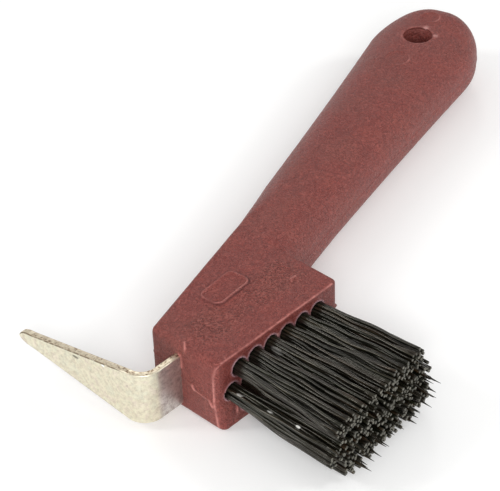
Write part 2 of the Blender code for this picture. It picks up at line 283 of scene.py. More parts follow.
def add_loft(shape, rings):
    loops = [[shape.verts.new(point) for point in ring] for ring in rings]
    count = len(loops[0])
    for here, there in zip(loops, loops[1:]):
        for i in range(count):
            j = (i + 1) % count
            shape.faces.new((here[i], here[j], there[j], there[i]))
    shape.faces.new(loops[0][::-1])
    shape.faces.new(loops[-1])


def add_tuft_hole(shape, x, z):
    turn = Vector((0, 0, 1)).rotation_difference(Vector((0, 1, 0))).to_matrix().to_4x4()
    bmesh.ops.create_cone(shape, cap_ends=True, segments=TUFT_HOLE_SIDES, radius1=TUFT_HOLE_RADIUS,
                          radius2=TUFT_HOLE_RADIUS, depth=2 * TUFT_HOLE_DEPTH,
                          matrix=Matrix.Translation((x, 0, z)) @ turn)


# ---------------------------------------------------------------- handle


def back_wall(x):
    return BLADE_FACE_WIDTH + HEAD_BACK_SLOPE * x


def axis_y(x):
    return AXIS_POINT[1] + (x - AXIS_POINT[0]) * math.tan(AXIS_CANT)


def axis_place(station, side=0.0):
    """Plan position of a point on the handle's axis, or beside it."""
    return (AXIS_POINT[0] + station * math.cos(AXIS_CANT) - side * math.sin(AXIS_CANT),
            AXIS_POINT[1] + station * math.sin(AXIS_CANT) + side * math.cos(AXIS_CANT))


def head_block():
    """The head's prism: crisp edges round the brush face, softer ones elsewhere."""
    shape = bmesh.new()
    outline = ((0, 0), (HEAD_LENGTH, 0), (HEAD_LENGTH, back_wall(HEAD_LENGTH)), (0, back_wall(0)))
    base = shape.faces.new([shape.verts.new((x, y, 0)) for x, y in outline])
    raised = bmesh.ops.extrude_face_region(shape, geom=[base])["geom"]
    top = [item for item in raised if isinstance(item, bmesh.types.BMVert)]
    bmesh.ops.translate(shape, vec=(0, 0, HEAD_THICKNESS), verts=top)
    bmesh.ops.recalc_face_normals(shape, faces=shape.faces)
    weight = shape.edges.layers.float.new("bevel_weight_edge")
    sides = {"brush": lambda co: co.y < ON_WALL, "blade": lambda co: co.x < ON_WALL,
             "shoulder": lambda co: co.x > HEAD_LENGTH - ON_WALL,
             "top": lambda co: co.z > MID_HEIGHT, "underside": lambda co: co.z < MID_HEIGHT}
    groups = ((HEAD_EDGE_RADIUS, ()), (CRISP_RADIUS, ("brush",)), (UPRIGHT_RADIUS, ("brush", "blade")),
              (SHOULDER_RADIUS, ("brush", "shoulder")), (SOFT_RADIUS, ("blade", "top")),
              (SOFT_RADIUS, ("blade", "underside")))
    for radius, shared in groups:
        for edge in shape.edges:
            if all(sides[side](end.co) for end in edge.verts for side in shared):
                edge[weight] = radius / UPRIGHT_RADIUS
    return shape


def section(middle, turn, left, right, heights, left_corner, right_corner):
    """A rounded box section of the handle, its left and right half widths and corners given apart."""
    low, high = heights
    corners = ((-right, low, right_corner, 180), (left, low, left_corner, 270),
               (left, high, left_corner, 0), (-right, high, right_corner, 90))
    points = []
    for side, level, (across, up), start in corners:
        inner = side - math.copysign(across, side)
        rise = level + up if level == low else level - up
        for step in range(CORNER_STEPS + 1):
            angle = math.radians(start + 90.0 * step / CORNER_STEPS)
            offset = inner + across * math.cos(angle)
            height = rise + up * math.sin(angle)
            points.append((middle[0] - offset * math.sin(turn), middle[1] + offset * math.cos(turn),
                           height))
    return points


def grip_half_width(station):
    t = min(station / GRIP_LENGTH, 1.0)
    a, b, c = GRIP_HALF_WIDTH
    return a + b * t + c * t * t


def neck_sections():
    """The bar's sections inside the head and at the shoulder."""
    rings = []
    for depth, sink in NECK_ROOTS:
        x = HEAD_LENGTH - depth
        left = back_wall(x) - axis_y(x) - sink
        right = grip_half_width(0.0) / math.cos(AXIS_CANT)
        edge = HEAD_EDGE_RADIUS
        rings.append(section((x, axis_y(x)), 0.0, left, right, (sink, HEAD_THICKNESS - sink),
                             (edge, edge), SHOULDER_CORNER))
    return rings


def grip_section(station):
    """A section beyond the shoulder: boxy at first, then oval, closing at the end."""
    round_share = smooth_step((station - GRIP_START) / NECK_LENGTH)
    turn = AXIS_CANT * smooth_step((station - GRIP_START) / TURN_LENGTH)
    length = GRIP_LENGTH + END_LENGTH
    width = grip_half_width(station)
    half = mix(*GRIP_THICKNESS, station / length) / 2
    if station > GRIP_LENGTH:
        width *= (1.0 - ((station - GRIP_LENGTH) / END_LENGTH) ** END_POWER) ** (1.0 / END_POWER)
    roll = OVAL_SHARE * half
    if station > length - roll:
        fall = (station - (length - roll)) / roll
        half = half - roll + roll * math.sqrt(max(1.0 - fall * fall, 0.0))
    boxy_left = back_wall(HEAD_LENGTH) - axis_y(HEAD_LENGTH) - SKIN
    left = mix(boxy_left, width, round_share)
    right = width / math.cos(AXIS_CANT - turn)
    heights = (mix(SKIN, MID_HEIGHT - half, round_share),
               mix(HEAD_THICKNESS - SKIN, MID_HEIGHT + half, round_share))
    oval = (OVAL_SHARE * width, OVAL_SHARE * half)
    left_corner = tuple(mix(HEAD_EDGE_RADIUS, size, round_share) for size in oval)
    right_corner = tuple(mix(a, b, round_share) for a, b in zip(SHOULDER_CORNER, oval))
    return section(axis_place(station), turn, left, right, heights, left_corner, right_corner)


def handle_bar():
    steps = range(1, GRIP_STEPS + 1)
    neck = [GRIP_START + NECK_LENGTH * step / NECK_STEPS for step in range(1, NECK_STEPS + 1)]
    grip = [mix(neck[-1], GRIP_LENGTH, step / GRIP_STEPS) for step in steps]
    end = [GRIP_LENGTH + END_LENGTH * math.sin(END_ANGLE * step / GRIP_STEPS) for step in steps]
    shape = bmesh.new()
    add_loft(shape, neck_sections() + [grip_section(station) for station in neck + grip + end])
    return shape


def add_flared_hole(shape, middle, radius, half, flare, sides=64, steps=8):
    """A cutter for a round hole whose rims roll outwards."""
    profile = [(HEAD_THICKNESS, radius + flare)]
    for step in range(steps + 1):
        angle = math.radians(90) * step / steps
        profile.append((half - flare * math.sin(angle), radius + flare - flare * math.cos(angle)))
    profile += [(-up, out) for up, out in profile[::-1]]
    add_loft(shape, [[(middle[0] + out * math.cos(2 * math.pi * k / sides),
                       middle[1] + out * math.sin(2 * math.pi * k / sides), middle[2] + up)
                      for k in range(sides)] for up, out in profile])


def tuft_places():
    """Name, place along the brush face and height of each tuft hole."""
    for row, (count, first_x, level) in ROWS.items():
        for i in range(count):
            yield f"{row}_{i + 1}", first_x + i * TUFT_PITCH, MID_HEIGHT + level * ROW_SPACING


def handle_cuts():
    """Tuft holes, hanging hole and the tang's pocket."""
    shape = bmesh.new()
    for _, x, z in tuft_places():
        add_tuft_hole(shape, x, z)
    half = mix(*GRIP_THICKNESS, HANG_HOLE_STATION / (GRIP_LENGTH + END_LENGTH)) / 2
    middle = (*axis_place(HANG_HOLE_STATION, HANG_HOLE_SIDE), MID_HEIGHT)
    add_flared_hole(shape, middle, HANG_HOLE_RADIUS, half, HOLE_FLARE)
    length = TANG_LENGTH + FIT_GAP - MOUTH_DEPTH
    size = (length, STRIP_THICKNESS + FIT_GAP, 2 * STRIP_HALF_WIDTH + FIT_GAP)
    middle = (MOUTH_DEPTH + length / 2, STRIP_Y, STRIP_Z)
    bmesh.ops.create_cube(shape, size=1.0, matrix=Matrix.Translation(middle) @ Matrix.Diagonal((*size, 1)))
    return shape


def bake_modifiers(piece):
    graph = bpy.context.evaluated_depsgraph_get()
    mesh = bpy.data.meshes.new_from_object(piece.evaluated_get(graph))
    piece.modifiers.clear()
    piece.data = mesh


def turned(x, y, middle, turn):
    """Plan positions along and across a line through a middle point."""
    c, s = math.cos(turn), math.sin(turn)
    return (x - middle[0]) * c + (y - middle[1]) * s, (y - middle[1]) * c - (x - middle[0]) * s


def plate_distance(along, across, half, corner):
    """Distance from the outline of a rectangle with rounded corners; negative inside."""
    over_x = np.abs(along) - half[0] + corner
    over_y = np.abs(across) - half[1] + corner
    outside = np.hypot(np.maximum(over_x, 0.0), np.maximum(over_y, 0.0))
    return outside + np.minimum(np.maximum(over_x, over_y), 0.0) - corner


def ridge(distance, height, width):
    return height * np.exp(-((distance / width) ** 2))


def outline_gap(x, y):
    """Distance from the plain rounded outline raised on the head, and how much it stands out there."""
    along, across = turned(x, y, OUTLINE_MIDDLE, OUTLINE_TURN)
    near_brush = 1.0 / (1.0 + np.exp((across + 0.5 * OUTLINE_HALF[1]) / OUTLINE_SOFTNESS))
    stand_out = mix(OUTLINE_FAINT, 1.0, near_brush)
    return plate_distance(along, across, OUTLINE_HALF, OUTLINE_CORNER), stand_out


def dash_ridge(x, y):
    """1 on the short raised dash beside the outline."""
    along, across = turned(x, y, DASH_PLACE, DASH_TURN)
    return ridge(np.hypot(np.maximum(np.abs(along) - DASH_HALF_LENGTH, 0.0), across), 1.0, DASH_WIDTH)


def stipple(x, y):
    """Close random bumps and pits, two to one, in the stippled patches of the head's upper side."""
    height = np.zeros_like(x)
    draw = random.Random(SEED)
    for middle, reach in STIPPLE_PATCHES:
        for _ in range(round(STIPPLE_DENSITY * 4 * reach[0] * reach[1])):
            px = middle[0] + draw.uniform(-1, 1) * reach[0]
            py = middle[1] + draw.uniform(-1, 1) * reach[1]
            near = (np.abs(x - px) < STIPPLE_REACH) & (np.abs(y - py) < STIPPLE_REACH)
            size = draw.uniform(*STIPPLE_SIZE)
            rise = draw.uniform(*STIPPLE_RISE) * draw.choice((1, 1, -1))
            height[near] += rise * np.exp(-((x[near] - px) ** 2 + (y[near] - py) ** 2) / size ** 2)
    return height


def stipple_zone(x, y):
    """1 in the stippled patches, fading out round them."""
    zone = np.zeros_like(x)
    for middle, reach in STIPPLE_PATCHES:
        over_x = np.maximum(np.abs(x - middle[0]) - reach[0], 0.0)
        over_y = np.maximum(np.abs(y - middle[1]) - reach[1], 0.0)
        zone = np.maximum(zone, ridge(np.hypot(over_x, over_y), 1.0, STIPPLE_FADE))
    return zone


def round_mark(x, y, station, side, radius):
    """Distance from the rim of a round mark on the grip, and how far the point lies to its brush side."""
    middle = axis_place(station, side)
    reach = np.hypot(x - middle[0], y - middle[1])
    return reach - radius, np.clip((middle[1] - y) / np.maximum(reach, 0.1), 0.0, 1.0)


def stroke(a, b, start, end, height, width):
    """A soft ridge along a straight line in the plane of the two given coordinates."""
    run = np.subtract(end, start)
    share = ((a - start[0]) * run[0] + (b - start[1]) * run[1]) / (run @ run)
    share = np.clip(share, 0.0, 1.0)
    return ridge(np.hypot(a - start[0] - share * run[0], b - start[1] - share * run[1]), height, width)


def hole_rims(x, z):
    """1 on the lip of a tuft hole, 0 away from it."""
    rims = np.zeros_like(x)
    for _, hole_x, hole_z in tuft_places():
        gap = np.hypot(x - hole_x, z - hole_z) - TUFT_HOLE_RADIUS - RIM_WIDTH / 2
        rims = np.maximum(rims, ridge(gap, 1.0, RIM_WIDTH))
    return rims


def edge_fall(z, radius):
    """How far an upright wall has rounded inwards at a height near the top."""
    rise = np.clip((z - HEAD_THICKNESS) / radius + 1.0, 0.0, 1.0)
    return radius * (1 - np.sqrt(1 - rise ** 2))


def crisp_edges(x, y, z):
    """1 along the upper edge of the brush face, and down the upright edge next to the blade face: where
    the edges are raised a little and the painted highlight line runs.
    """
    sink = CRISP_RADIUS * (1 - math.sqrt(0.5))
    over_x = np.maximum(np.maximum(UPRIGHT_RADIUS - x, x - HEAD_LENGTH + UPRIGHT_RADIUS), 0.0)
    wall_gap = UPRIGHT_RADIUS - np.hypot(over_x, np.maximum(UPRIGHT_RADIUS - y, 0.0))
    upper = ridge(np.hypot(wall_gap - sink, z - HEAD_THICKNESS + sink), 1.0, BRIGHT_EDGE)
    upper *= (x < HEAD_LENGTH - 1.6) * (x > 0.8 * UPRIGHT_RADIUS)
    climb = np.clip((z - HEAD_THICKNESS + CORNER_CLIMB) / CORNER_CLIMB, 0.0, 1.0)
    degrees = CORNER_ANGLE
    for turn, power in CORNER_TURNS:
        degrees = degrees + turn * climb ** power
    angle = np.radians(degrees)
    line_x = edge_fall(z, SOFT_RADIUS) + UPRIGHT_RADIUS * (1 - np.cos(angle))
    line_y = edge_fall(z, CRISP_RADIUS) + UPRIGHT_RADIUS * (1 - np.sin(angle))
    upright = ridge(np.hypot(x - line_x, y - line_y), 1.0, 1.3 * BRIGHT_EDGE)
    return np.maximum(upper, upright)


def corner_lean(x, y, z):
    """How far the lower half of the front corner stands out of square, along X and along Y."""
    share = np.clip(1.0 - z / LEAN_HEIGHT, 0.0, 1.0)
    return (LEAN[0] * share * np.exp(-((x / LEAN_REACH) ** 2)),
            LEAN[1] * share * np.exp(-((y / LEAN_REACH) ** 2)))


def edge_burr(x, y, z):
    """1 on a short burr over the upper edge of the blade face."""
    return (z > HEAD_THICKNESS - SOFT_RADIUS) * stroke(x, y, *EDGE_BURR, 1.0, EDGE_BURR_WIDTH)


def blade_face_flash(y, z):
    """Thin flash on the blade face: along the mould's parting, round the blade's mouth and above it."""
    height = np.zeros_like(y)
    for start, end, rise, width in FLASH_STROKES:
        height = np.maximum(height, stroke(y, z, start, end, rise * FLASH_HEIGHT, width))
    return height


def front_burr(x, z):
    """1 on a small upright burr low on the brush face."""
    middle, half = FRONT_BURR
    return ridge(np.hypot((x - middle[0]) / half[0], (z - middle[1]) / half[1]), 1.0, 1.0)


def parting_gap(x, y, z):
    """Height over the mould's parting line, which climbs towards the back on the blade face."""
    return z - np.where(x < 1.0, PARTING_CLIMB[0] + PARTING_CLIMB[1] * y, MID_HEIGHT)


def handle_relief(x, y, z, normals):
    """How far each point of the moulding stands out along its normal."""
    up = np.clip((normals[:, 2] - 0.8) / 0.15, 0.0, 1.0)
    on_head = up * (z > HEAD_THICKNESS - TOP_DEPTH) * (x < HEAD_LENGTH)
    gap, stand_out = outline_gap(x, y)
    raised = ridge(gap, RIDGE_HEIGHT, RIDGE_WIDTH) * mix(0.5, 1.0, stand_out)
    move = on_head * (raised + RIDGE_HEIGHT * dash_ridge(x, y) + stipple(x, y))
    for mark in EJECTOR_MARKS:
        gap, _ = round_mark(x, y, *mark)
        dish = -MARK_DEPTH / (1.0 + np.exp(np.minimum(gap / MARK_SOFTNESS, LARGEST_EXPONENT)))
        move += up * (z > MID_HEIGHT) * (dish + ridge(gap, *MARK_RIM))
    level = np.abs(normals[:, 2]) < 0.35
    outside = (y > 0.6) | (x < 0.6) | (x > HEAD_LENGTH - 1.0)
    move += ((normals[:, 1] < -0.7) & (y < 1.0)) * RIM_HEIGHT * hole_rims(x, z)
    move += ((normals[:, 0] < -0.6) & (x < 1.0)) * blade_face_flash(y, z)
    move += BRIGHT_EDGE_RISE * crisp_edges(x, y, z)
    move += (y < 0.6) * FRONT_BURR_RISE * front_burr(x, z)
    move += EDGE_BURR_RISE * edge_burr(x, y, z)
    nib = np.hypot(np.hypot(x - NIB_PLACE[0], y - NIB_PLACE[1]) / NIB_SIZE[0], z - NIB_PLACE[2])
    move += NIB_HEIGHT * np.exp(-(nib / NIB_SIZE[1]) ** 2)
    peel = [noise.noise(Vector(point) * PEEL_RATE) for point in np.stack((x, y, z), 1)]
    move += PEEL_HEIGHT * np.array(peel)
    wander = [noise.noise(Vector((a * PARTING_RATE, b * PARTING_RATE, 4.0))) for a, b in zip(x, y)]
    parting = ridge(parting_gap(x, y, z), PARTING_HEIGHT, PARTING_WIDTH)
    move += level * outside * parting * (0.7 + 0.6 * np.array(wander))
    return move


def vertex_data(mesh, key):
    values = np.empty(3 * len(mesh.vertices))
    mesh.vertices.foreach_get(key, values)
    return values.reshape(-1, 3)


def store(mesh, layers):
    """Stores one value between 0 and 1 at each vertex, under each layer's name."""
    for name, values in layers:
        layer = mesh.attributes.new(name, "FLOAT", "POINT")
        layer.data.foreach_set("value", np.clip(values, 0.0, 1.0).astype(np.float32))


def mark_scuffs_and_painted_light(mesh):
    """Stores where the plastic is painted pale, partly as scuffs and flash and partly as painted
    highlights on lit edges, ridges and rims; where painted glints lie; and where painted shade darkens
    creases, the sides of ridges and shaded faces.
    """
    x, y, z = vertex_data(mesh, "co").T
    shift_x, shift_y = corner_lean(x, y, z)
    x = x - shift_x
    y = y - shift_y
    on_top = z > HEAD_THICKNESS - TOP_DEPTH
    upper_half = z > MID_HEIGHT
    hole_rim, _ = round_mark(x, y, HANG_HOLE_STATION, HANG_HOLE_SIDE, HANG_HOLE_RADIUS + HOLE_FLARE)
    outline, stand_out = outline_gap(x, y)
    # Pale marks: partly scuffs and flash, mostly painted highlights on the lit sides of edges, ridges,
    # burrs, the dash and the hanging hole's rim.
    pale = [crisp_edges(x, y, z),
            (x < 1.0) * blade_face_flash(y, z) / FLASH_HEIGHT,
            (y < 0.8) * front_burr(x, z),
            edge_burr(x, y, z),
            on_top * 0.9 * stand_out * ridge(outline, 1.0, 0.8 * RIDGE_WIDTH),
            on_top * dash_ridge(x, y),
            (z > MID_HEIGHT + 8.0) * ridge(hole_rim, 0.22, 0.25)]
    # Painted highlight on the brush side of each ejector mark's rim.
    for mark in EJECTOR_MARKS:
        gap, near_side = round_mark(x, y, *mark)
        pale.append(upper_half * near_side * ridge(gap, 0.6, 0.24))
    # Painted shade: beside the raised outline, across the shoulder's bend, beside the burr and beside
    # ridges on the blade face.
    dark = [on_top * stand_out * ridge(outline - 2.0 * RIDGE_WIDTH, 1.0, 1.2 * RIDGE_WIDTH),
            upper_half * stroke(x, y, *SHOULDER_CREASE),
            (y < 0.8) * front_burr(x + BURR_SHADE_SHIFT, z)]
    dark += [(x < 1.0) * stroke(y, z, *crease) for crease in BLADE_FACE_CREASES]
    # Painted glints: a spot on the brush face and spots on the hanging hole's rim.
    (spot_x, spot_z), spot_size = FACE_SPOT
    glints = [(y < 0.7) * ridge(np.hypot(x - spot_x, z - spot_z), 1.0, spot_size)]
    for station, side, size in HOLE_SPOTS:
        gap, _ = round_mark(x, y, station, side, 0.0)
        glints.append((z > MID_HEIGHT + 9.3) * ridge(gap, 1.0, size))
    # Painted shade: the brush face darker towards its top, and the blade face darker behind the strip,
    # where the strip shades it.
    shaded = [(y < 0.3) * np.clip((z - 8.0) / 6.0, 0.0, 1.0),
              (x < 0.3) * np.clip((y - STRIP_Y) / 3.0, 0.0, 0.9)]
    # Stored masks: the pale rims are painted highlights on the tuft holes' lips, the glints are painted
    # glints, and the creases and shaded faces are painted shade.
    store(mesh, (("pale_edge", np.maximum.reduce(pale)), ("pale_rim", (y < 0.7) * hole_rims(x, z)),
                 ("pale_glint", np.maximum.reduce(glints)), ("painted_crease_shade", np.maximum.reduce(dark)),
                 ("stippled", on_top * stipple_zone(x, y)), ("shaded", np.maximum.reduce(shaded))))


def build_handle(material):
    handle = raw_object("handle_moulding", head_block())
    rounding = handle.modifiers.new("rounding", "BEVEL")
    rounding.width = UPRIGHT_RADIUS
    rounding.segments = 8
    rounding.limit_method = "WEIGHT"
    helpers = ((raw_object("bar_tool", handle_bar()), "UNION"),
               (raw_object("cut_tool", handle_cuts()), "DIFFERENCE"))
    for helper, operation in helpers:
        modifier = handle.modifiers.new(operation, "BOOLEAN")
        modifier.operation = operation
        modifier.solver = "EXACT"
        modifier.object = helper
    remesh = handle.modifiers.new("remesh", "REMESH")
    remesh.mode = "VOXEL"
    remesh.voxel_size = VOXEL
    soften = handle.modifiers.new("soften", "SMOOTH")
    soften.factor = 0.5
    soften.iterations = 2
    bake_modifiers(handle)
    for helper, _ in helpers:
        bpy.data.objects.remove(helper)
    mesh = handle.data
    points = vertex_data(mesh, "co")
    normals = vertex_data(mesh, "normal")
    points += normals * handle_relief(*points.T, normals)[:, None]
    shift_x, shift_y = corner_lean(*points.T)
    points[:, 0] += shift_x
    points[:, 1] += shift_y
    mesh.vertices.foreach_set("co", points.ravel())
    mesh.update()
    thin = handle.modifiers.new("thin", "DECIMATE")
    thin.ratio = min(1.0, HANDLE_TRIANGLES / (2 * len(mesh.polygons)))
    bake_modifiers(handle)
    mark_scuffs_and_painted_light(handle.data)
    to_row_frame(handle.data)
    handle.data.shade_smooth()
    handle.data.materials.clear()
    handle.data.materials.append(material)
    return handle


# ---------------------------------------------------------------- blade


def strip_ring(middle, along, half_width):
    """A section of the strip with rounded edges."""
    across = Vector((-along.y, along.x, 0))
    half = STRIP_THICKNESS / 2
    edge = min(STRIP_EDGE_RADIUS, half_width / 2)
    points = []
    for side, level, start in STRIP_CORNERS:
        for step in range(STRIP_EDGE_STEPS + 1):
            angle = math.radians(start + 90 * step / STRIP_EDGE_STEPS)
            out = side * (half - edge) + edge * math.cos(angle)
            up = level * (half_width - edge) + edge * math.sin(angle)
            points.append(middle + across * out + Vector((0, 0, up)))
    return points


def build_blade(material):
    heading = Vector((-1, 0, 0))
    rings = [strip_ring(Vector((x, STRIP_Y, STRIP_Z)), heading, STRIP_HALF_WIDTH)
             for x in np.linspace(TANG_LENGTH, -ROOT_LENGTH, TANG_RINGS)]
    centre = Vector((-ROOT_LENGTH, STRIP_Y + BEND_RADIUS, STRIP_Z))
    for step in range(1, BEND_STEPS + 1):
        angle = BEND_ANGLE * step / BEND_STEPS
        middle = centre + BEND_RADIUS * Vector((-math.sin(angle), -math.cos(angle), 0))
        heading = Vector((-math.cos(angle), math.sin(angle), 0))
        rings.append(strip_ring(middle, heading, STRIP_HALF_WIDTH))
    taper = ARM_LENGTH - NOSE_LENGTH
    for share in np.linspace(0, 1, TAPER_STEPS + 1)[1:]:
        half_width = mix(STRIP_HALF_WIDTH, TIP_HALF_WIDTH, share)
        rings.append(strip_ring(middle + heading * taper * share, heading, half_width))
    for step in range(1, NOSE_STEPS + 1):
        angle = NOSE_ANGLE * step / NOSE_STEPS
        reach = taper + NOSE_LENGTH * math.sin(angle)
        rings.append(strip_ring(middle + heading * reach, heading, TIP_HALF_WIDTH * math.cos(angle)))
    shape = bmesh.new()
    add_loft(shape, rings)
    blade = new_object("blade_strip", shape)
    profile = [abs(math.sin(math.radians(start + 90 * step / STRIP_EDGE_STEPS)))
               for _, _, start in STRIP_CORNERS for step in range(STRIP_EDGE_STEPS + 1)]
    x, y, _ = (vertex_data(blade.data, "co") / MM - np.array(CORNER) / MM).T
    store(blade.data, (("sheared_edge", np.tile(profile, len(rings))),
                       ("on_arm", (y - STRIP_Y - 1.2 * BEND_RADIUS) / ARM_FADE),
                       ("at_root", (x + ROOT_LENGTH + 1.0) / ROOT_FADE)))
    blade.data.shade_smooth()
    blade.data.set_sharp_from_angle(angle=math.radians(50))
    blade.data.materials.append(material)
    return blade


# ---------------------------------------------------------------- brush


def filament_spots(draw):
    """Even places over a unit disc, a little disturbed."""
    spots = []
    for i in range(FILAMENTS):
        radius = math.sqrt((i + 0.5) / FILAMENTS)
        angle = i * math.pi * (3 - math.sqrt(5)) + draw.uniform(-SPOT_TURN, SPOT_TURN)
        spots.append((radius * math.cos(angle), radius * math.sin(angle)))
    return spots


def square_up(spot, share):
    """Moves a spot of the unit disc part of the way to the matching spot of a square."""
    a, b = spot
    largest = max(abs(a), abs(b), 1e-6)
    scale = math.hypot(a, b) / largest
    return a * mix(1.0, scale, share), b * mix(1.0, scale, share)


def add_filament(shape, spine, radii):
    """A closed tube along a spine that runs mostly along Y; its cut end takes the second material."""
    rings = []
    for i, point in enumerate(spine):
        ahead = spine[min(i + 1, len(spine) - 1)] - spine[max(i - 1, 0)]
        ahead.normalize()
        side = ahead.cross(Vector((0, 0, 1))).normalized()
        up = side.cross(ahead)
        rings.append([point + radii[i] * (side * math.cos(a) + up * math.sin(a))
                      for a in (2 * math.pi * k / FILAMENT_SIDES for k in range(FILAMENT_SIDES))])
    add_loft(shape, rings)
    shape.faces.ensure_lookup_table()
    shape.faces[-1].material_index = 1


def strand_places(spine, offset):
    """Where each vertex of a filament reads its colour: lengthwise streaks, its own for each filament."""
    places = []
    for point in spine:
        for k in range(FILAMENT_SIDES):
            angle = 2 * math.pi * k / FILAMENT_SIDES
            places.append((offset + FILAMENT_RADIUS * math.cos(angle), STREAK_SHARE * point.y,
                           FILAMENT_RADIUS * math.sin(angle)))
    return places


def build_tuft(name, x, z, materials):
    """The filaments that fill one hole: they wave together, and fan out towards a square end."""
    draw = random.Random(f"{SEED}-{name}")
    along = x / HEAD_LENGTH
    length = mix(*TUFT_LENGTH, along ** 2) + TRIM_TILT * (MID_HEIGHT - z) / ROW_SPACING
    tip_x = HEAD_LENGTH / 2 + (x - HEAD_LENGTH / 2) * TUFT_FAN
    tip_z = MID_HEIGHT + (z - MID_HEIGHT) * mix(*TUFT_SPREAD, along) + TUFT_RISE
    root = TUFT_HOLE_RADIUS - FILAMENT_RADIUS - 0.05
    tuft_phase = draw.uniform(0, 2 * math.pi)
    tuft_swing = draw.uniform(0, 2 * math.pi)
    shape = bmesh.new()
    strand = []
    for spot in filament_spots(draw):
        wide = square_up(spot, SQUARE_SHARE)
        own_length = length + draw.gauss(0, LENGTH_SPREAD) - END_TRIM
        phase = tuft_phase + draw.gauss(0, PHASE_SPREAD)
        swing = tuft_swing + draw.gauss(0, SWING_SPREAD)
        wave = WAVE_HEIGHT * draw.uniform(*WAVE_RANGE)
        wander = STRAY_WANDER if draw.random() < STRAY_SHARE else WANDER
        stray = (draw.gauss(0, wander), draw.gauss(0, wander))
        pointed = draw.random() < POINTED_SHARE
        spine = []
        for step in range(FILAMENT_STEPS + 1):
            t = step / FILAMENT_STEPS
            y = mix(ROOT_DEPTH, -own_length, t)
            out = max(-y, 0.0) / length
            open_up = smooth_step(out * OPEN_RATE)
            sway = wave * smooth_step(out * 5) * math.sin(2 * math.pi * y / WAVE_LENGTH + phase)
            px = mix(x, tip_x, out) + mix(spot[0] * root, wide[0] * TUFT_TIP_HALF[0], open_up)
            pz = mix(z, tip_z, out) + mix(spot[1] * root, wide[1] * TUFT_TIP_HALF[1], open_up)
            px += stray[0] * out ** 1.5 + sway * math.cos(swing)
            pz += stray[1] * out ** 1.5 + sway * math.sin(swing)
            spine.append(Vector((px, y, max(pz, FILAMENT_RADIUS + 0.15))))
        heading = (spine[-1] - spine[-2]).normalized()
        ends = POINTED_END if pointed else CUT_END
        stretch = draw.uniform(*POINT_RANGE) if pointed else 1.0
        spine += [spine[-1] + heading * reach * stretch for reach, _ in ends]
        thickness = FILAMENT_RADIUS * draw.uniform(*THICKNESS_RANGE)
        radii = [thickness] * (FILAMENT_STEPS + 1) + [thickness * share for _, share in ends]
        add_filament(shape, spine, radii)
        strand += strand_places(spine, draw.uniform(0, STRAND_SPREAD))
    tuft = new_object(f"filaments_{name}", shape)
    layer = tuft.data.attributes.new("strand", "FLOAT_VECTOR", "POINT")
    layer.data.foreach_set("vector", np.array(strand, dtype=np.float32).ravel())
    tuft.data.shade_smooth()
    tuft.data.set_sharp_from_angle(angle=math.radians(65))
    for material in materials:
        tuft.data.materials.append(material)
    return tuft


# ---------------------------------------------------------------- materials

# Noise scales, in cells per metre; those of the strands are in cells per millimetre.
PATCH_SCALE = 160.0
BROWN_SCALE = 75.0
GRAIN_SCALE = 1350.0
DOT_SCALE = 2000.0
SCUFF_SCALE = 260.0
MOTTLE_SCALE = 1000.0
CAST_SCALE = 420.0
SPECK_SCALE = 1100.0
STREAK_SCALE = 1.9
STRAND_CAST_SCALE = 0.45
CUT_SCALE = 800.0
WIRE_SCALE = 900.0

# Colours of the moulding.
PLASTIC_SHADES = ((0.35, (0.200, 0.043, 0.035)), (0.50, (0.232, 0.047, 0.038)),
                  (0.65, (0.262, 0.056, 0.042)))
BROWNER = (0.216, 0.061, 0.048)
# Grain tone: painted shade in the grain's hollows, painted highlight on its crests.
GRAIN_VALLEY_SHADE = (0.150, 0.026, 0.021)
GRAIN_CREST_LIGHT = (0.330, 0.085, 0.068)
# Stipple tone: painted shade in its pits, painted highlight on its beads.
STIPPLE_PIT_SHADE = (0.150, 0.038, 0.028)
STIPPLE_BEAD_LIGHT = (0.360, 0.115, 0.092)
# Painted shade for faces of the head that lie in shade.
PAINTED_SHADE_RED = (0.120, 0.022, 0.018)
# Painted shade in creases and beside ridges.
CREASE_SHADE = (0.075, 0.010, 0.010)
# Pale edges: partly scuff and flash, partly painted highlight.
SCUFF_AND_HIGHLIGHT = (0.640, 0.240, 0.210)
# Painted highlight on the lips of the tuft holes.
RIM_HIGHLIGHT = (0.440, 0.270, 0.300)
# Colour of the painted glints.
GLINT_HIGHLIGHT = (0.850, 0.450, 0.420)

# Colours of the steel, of the filaments and of the staples.
STEEL_FACE = ((0.32, (0.48, 0.41, 0.32)), (0.43, (0.65, 0.59, 0.46)), (0.60, (0.83, 0.78, 0.62)))
STEEL_CASTS = ((0.36, (0.84, 0.74, 0.66)), (0.50, (0.80, 0.76, 0.59)), (0.64, (0.76, 0.78, 0.65)))
SHEARED_STEEL = ((0.36, (0.30, 0.20, 0.13)), (0.45, (0.76, 0.65, 0.48)), (0.60, (0.92, 0.83, 0.65)))
STEEL_BLOTCHES = ((0.36, (0.34, 0.29, 0.33)), (0.60, (0.66, 0.64, 0.68)))
BURR_SHADE = (0.18, 0.13, 0.08)
NICK_SHADE = (0.12, 0.10, 0.07)
WHITE = (1.0, 1.0, 1.0)
STREAKS = ((0.40, (0.004, 0.004, 0.003)), (0.52, (0.009, 0.008, 0.006)), (0.66, (0.026, 0.023, 0.015)))
STRAND_CASTS = ((0.34, (0.55, 0.75, 0.55)), (0.50, (1.0, 1.0, 0.90)), (0.66, (1.25, 0.72, 0.48)))
# Colour of the filaments' painted glints.
BRISTLE_GLINT_COLOUR = (0.75, 0.74, 0.70)
FILAMENT_SHEEN = (1.0, 0.95, 0.84, 1.0)
CUT_ENDS = ((0.32, (0.046, 0.044, 0.035)), (0.68, (0.165, 0.158, 0.128)))
WIRE = ((0.3, (0.50, 0.48, 0.43)), (0.7, (0.68, 0.66, 0.61)))


def node_tree(name):
    material = bpy.data.materials.new(name)
    material.use_nodes = True
    tree = material.node_tree
    return material, tree, tree.nodes["Principled BSDF"]


